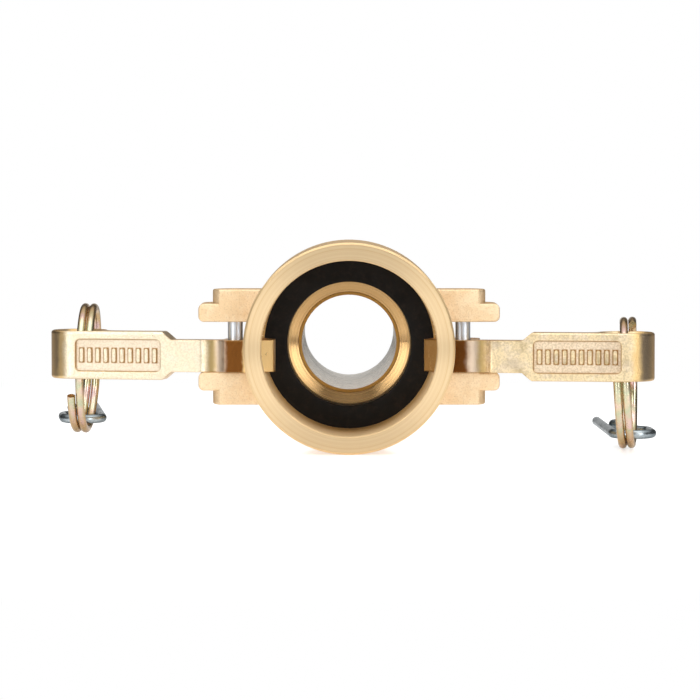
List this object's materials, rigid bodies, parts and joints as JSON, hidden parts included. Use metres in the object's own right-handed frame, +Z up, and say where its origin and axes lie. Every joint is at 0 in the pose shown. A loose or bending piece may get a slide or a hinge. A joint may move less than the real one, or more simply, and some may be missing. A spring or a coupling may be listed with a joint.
{
  "type": "camlock coupling",
  "caption": "Cast female cam-and-groove hose coupling with two swinging locking levers, pull rings, safety clips and a barbed hose tail, lying open.",
  "frame": {"origin": "middle of the mouth's face, on the coupling's axis", "axes": "+Y from the mouth to the hose tail along the coupling's axis; +X from the left lever to the right one; +Z up, along the lever pins, as the coupling lies"},
  "size_m": [0.132, 0.0855, 0.045],
  "materials": {
    "cast_brass": "sand-cast, matte, with turned mouth and bore",
    "lever_brass": "sand-cast and tumbled, satin",
    "black_rubber": "moulded nitrile, satin",
    "pin_steel": "drawn wire, satin",
    "yellow_zinc": "yellow zinc plate, iridescent",
    "bright_zinc": "bright zinc plate"
  },
  "bodies": {
    "coupler": {"coupler_body": "cast_brass", "gasket": "black_rubber"},
    "left_pin": {"left_pivot_pin": "pin_steel"},
    "left_lever": {"left_lever": "lever_brass"},
    "left_ring": {"left_pull_ring": "yellow_zinc"},
    "left_clip": {"left_safety_clip": "bright_zinc"},
    "right_pin": {"right_pivot_pin": "pin_steel"},
    "right_lever": {"right_lever": "lever_brass"},
    "right_ring": {"right_pull_ring": "yellow_zinc"},
    "right_clip": {"right_safety_clip": "bright_zinc"}
  },
  "joints": [
    {"name": "left_lever_hinge", "type": "hinge", "parent": "coupler", "child": "left_pin", "pos_m": [-0.0244, 0.011, 0], "axis": [0, 0, -1], "range_deg": [-58.5, 79.5]},
    {"name": "left_lever_float", "type": "slide", "parent": "left_pin", "child": "left_lever", "axis": [0, 0, 1], "range_m": [0, 0.00391]},
    {"name": "left_ring_swing", "type": "hinge", "parent": "left_lever", "child": "left_ring", "pos_m": [-0.05831, 0.01901, -0.00196], "axis": [0, 0, -1], "range_deg": [-79.5, 58.5]},
    {"name": "left_clip_swing", "type": "hinge", "parent": "left_ring", "child": "left_clip", "pos_m": [-0.05892, 0.03455, -0.017], "axis": [1, 0, 0], "range_deg": [-75, 0]},
    {"name": "right_lever_hinge", "type": "hinge", "parent": "coupler", "child": "right_pin", "pos_m": [0.0244, 0.011, 0], "axis": [0, 0, 1], "range_deg": [-40, 98]},
    {"name": "right_lever_float", "type": "slide", "parent": "right_pin", "child": "right_lever", "axis": [0, 0, 1], "range_m": [0, 0.00391]},
    {"name": "right_ring_swing", "type": "hinge", "parent": "right_lever", "child": "right_ring", "pos_m": [0.0591, 0.00784, -0.00196], "axis": [0, 0, 1], "range_deg": [-98, 40]},
    {"name": "right_clip_swing", "type": "hinge", "parent": "right_ring", "child": "right_clip", "pos_m": [0.06173, 0.02246, -0.01951], "axis": [1, 0, 0], "range_deg": [-75, 0]}
  ],
  "couplings": [
    {"joint": "left_ring_swing", "follows": "left_lever_hinge", "ratio": -1},
    {"joint": "right_ring_swing", "follows": "right_lever_hinge", "ratio": -1}
  ]
}
